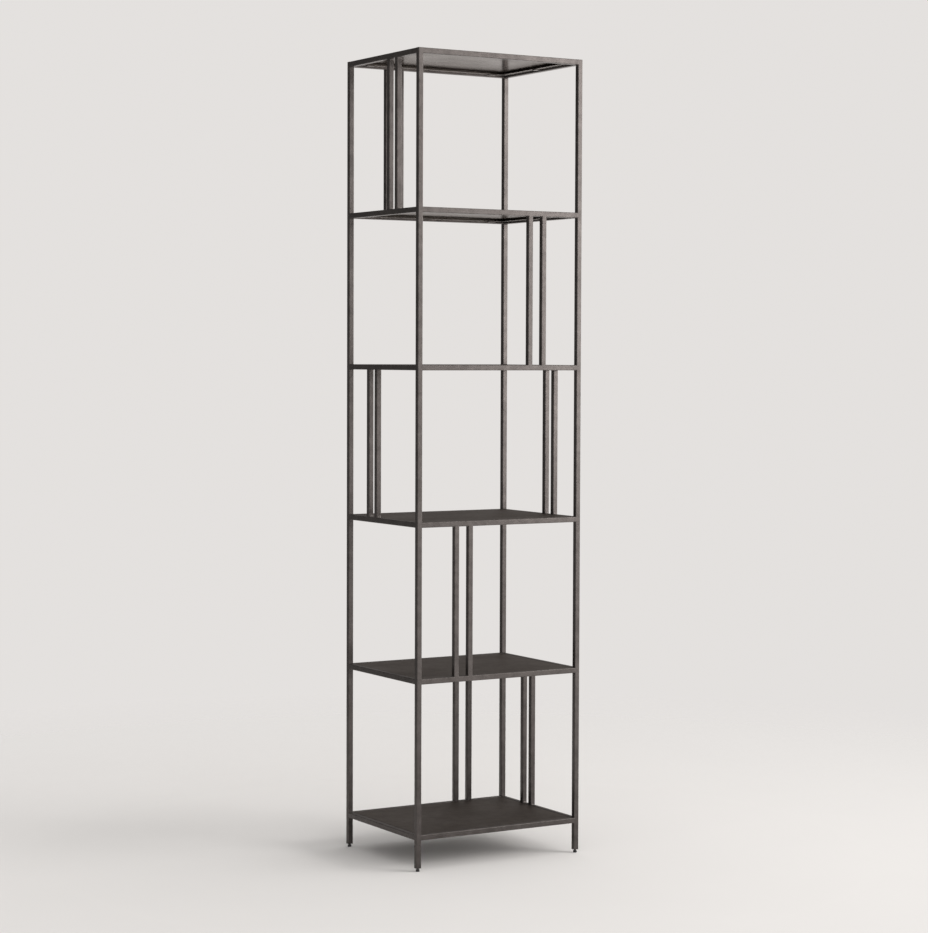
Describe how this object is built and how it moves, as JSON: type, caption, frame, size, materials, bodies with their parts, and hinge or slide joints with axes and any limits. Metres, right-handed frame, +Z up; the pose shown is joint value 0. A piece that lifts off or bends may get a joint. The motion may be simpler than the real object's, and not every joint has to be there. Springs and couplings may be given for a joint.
{
  "type": "shelving unit",
  "caption": "Tall narrow open shelving tower in dark metal: square-tube posts and rails, folded sheet-metal trays, paired upright accent bars and small screw-in levelling feet.",
  "frame": {"origin": "centre of the footprint at floor level, which is the bottom centre of the bounding box", "axes": "+Z up, +X to the right seen from the front, +Y to the back; the front faces -Y"},
  "size_m": [0.4572, 0.35, 1.9304],
  "materials": {
    "frame_tube": "satin dark bronze powder coat over square steel tube",
    "shelf_sheet": "satin dark bronze coat over folded steel sheet, a little glossier than the tube",
    "stud_steel": "black zinc",
    "foot_nylon": "matte black nylon"
  },
  "bodies": {
    "tower": {"post_front_left": "frame_tube", "post_front_right": "frame_tube", "post_back_left": "frame_tube", "post_back_right": "frame_tube", "post_caps": "frame_tube", "rail_front_level_1": "frame_tube", "rail_back_level_1": "frame_tube", "rail_left_level_1": "frame_tube", "rail_right_level_1": "frame_tube", "rail_front_level_2": "frame_tube", "rail_back_level_2": "frame_tube", "rail_left_level_2": "frame_tube", "rail_right_level_2": "frame_tube", "rail_front_level_3": "frame_tube", "rail_back_level_3": "frame_tube", "rail_left_level_3": "frame_tube", "rail_right_level_3": "frame_tube", "rail_front_level_4": "frame_tube", "rail_back_level_4": "frame_tube", "rail_left_level_4": "frame_tube", "rail_right_level_4": "frame_tube", "rail_front_level_5": "frame_tube", "rail_back_level_5": "frame_tube", "rail_left_level_5": "frame_tube", "rail_right_level_5": "frame_tube", "rail_front_level_6": "frame_tube", "rail_back_level_6": "frame_tube", "rail_left_level_6": "frame_tube", "rail_right_level_6": "frame_tube", "bars_bay_1_back": "frame_tube", "bars_bay_1_right": "frame_tube", "bars_bay_2_front": "frame_tube", "bars_bay_3_left": "frame_tube", "bars_bay_3_right": "frame_tube", "bars_bay_4_front": "frame_tube", "bars_bay_5_left": "frame_tube", "bars_bay_5_back": "frame_tube", "shelf_tray_level_1": "shelf_sheet", "tray_tabs_level_1": "frame_tube", "shelf_tray_level_2": "shelf_sheet", "tray_tabs_level_2": "frame_tube", "shelf_tray_level_3": "shelf_sheet", "tray_tabs_level_3": "frame_tube", "shelf_tray_level_4": "shelf_sheet", "tray_tabs_level_4": "frame_tube", "shelf_tray_level_5": "shelf_sheet", "tray_tabs_level_5": "frame_tube", "shelf_tray_level_6": "shelf_sheet", "tray_tabs_level_6": "frame_tube", "foot_inserts": "foot_nylon"},
    "foot_front_left": {"foot_pad_front_left": "foot_nylon"},
    "screw_front_left": {"foot_stud_front_left": "stud_steel"},
    "foot_front_right": {"foot_pad_front_right": "foot_nylon"},
    "screw_front_right": {"foot_stud_front_right": "stud_steel"},
    "foot_back_left": {"foot_pad_back_left": "foot_nylon"},
    "screw_back_left": {"foot_stud_back_left": "stud_steel"},
    "foot_back_right": {"foot_pad_back_right": "foot_nylon"},
    "screw_back_right": {"foot_stud_back_right": "stud_steel"}
  },
  "joints": [
    {"name": "foot_front_left_height", "type": "slide", "parent": "tower", "child": "foot_front_left", "axis": [0, 0, -1], "range_m": [-0.001, 0.008]},
    {"name": "foot_front_left_screw", "type": "hinge", "parent": "foot_front_left", "child": "screw_front_left", "pos_m": [-0.22225, -0.16865, 0], "axis": [0, 0, -1], "range_deg": [-360, 2880]},
    {"name": "foot_front_right_height", "type": "slide", "parent": "tower", "child": "foot_front_right", "axis": [0, 0, -1], "range_m": [-0.001, 0.008]},
    {"name": "foot_front_right_screw", "type": "hinge", "parent": "foot_front_right", "child": "screw_front_right", "pos_m": [0.22225, -0.16865, 0], "axis": [0, 0, -1], "range_deg": [-360, 2880]},
    {"name": "foot_back_left_height", "type": "slide", "parent": "tower", "child": "foot_back_left", "axis": [0, 0, -1], "range_m": [-0.001, 0.008]},
    {"name": "foot_back_left_screw", "type": "hinge", "parent": "foot_back_left", "child": "screw_back_left", "pos_m": [-0.22225, 0.16865, 0], "axis": [0, 0, -1], "range_deg": [-360, 2880]},
    {"name": "foot_back_right_height", "type": "slide", "parent": "tower", "child": "foot_back_right", "axis": [0, 0, -1], "range_m": [-0.001, 0.008]},
    {"name": "foot_back_right_screw", "type": "hinge", "parent": "foot_back_right", "child": "screw_back_right", "pos_m": [0.22225, 0.16865, 0], "axis": [0, 0, -1], "range_deg": [-360, 2880]}
  ],
  "couplings": [
    {"joint": "foot_front_left_screw", "follows": "foot_front_left_height", "rad_per_m": 6283.2},
    {"joint": "foot_front_right_screw", "follows": "foot_front_right_height", "rad_per_m": 6283.2},
    {"joint": "foot_back_left_screw", "follows": "foot_back_left_height", "rad_per_m": 6283.2},
    {"joint": "foot_back_right_screw", "follows": "foot_back_right_height", "rad_per_m": 6283.2}
  ]
}
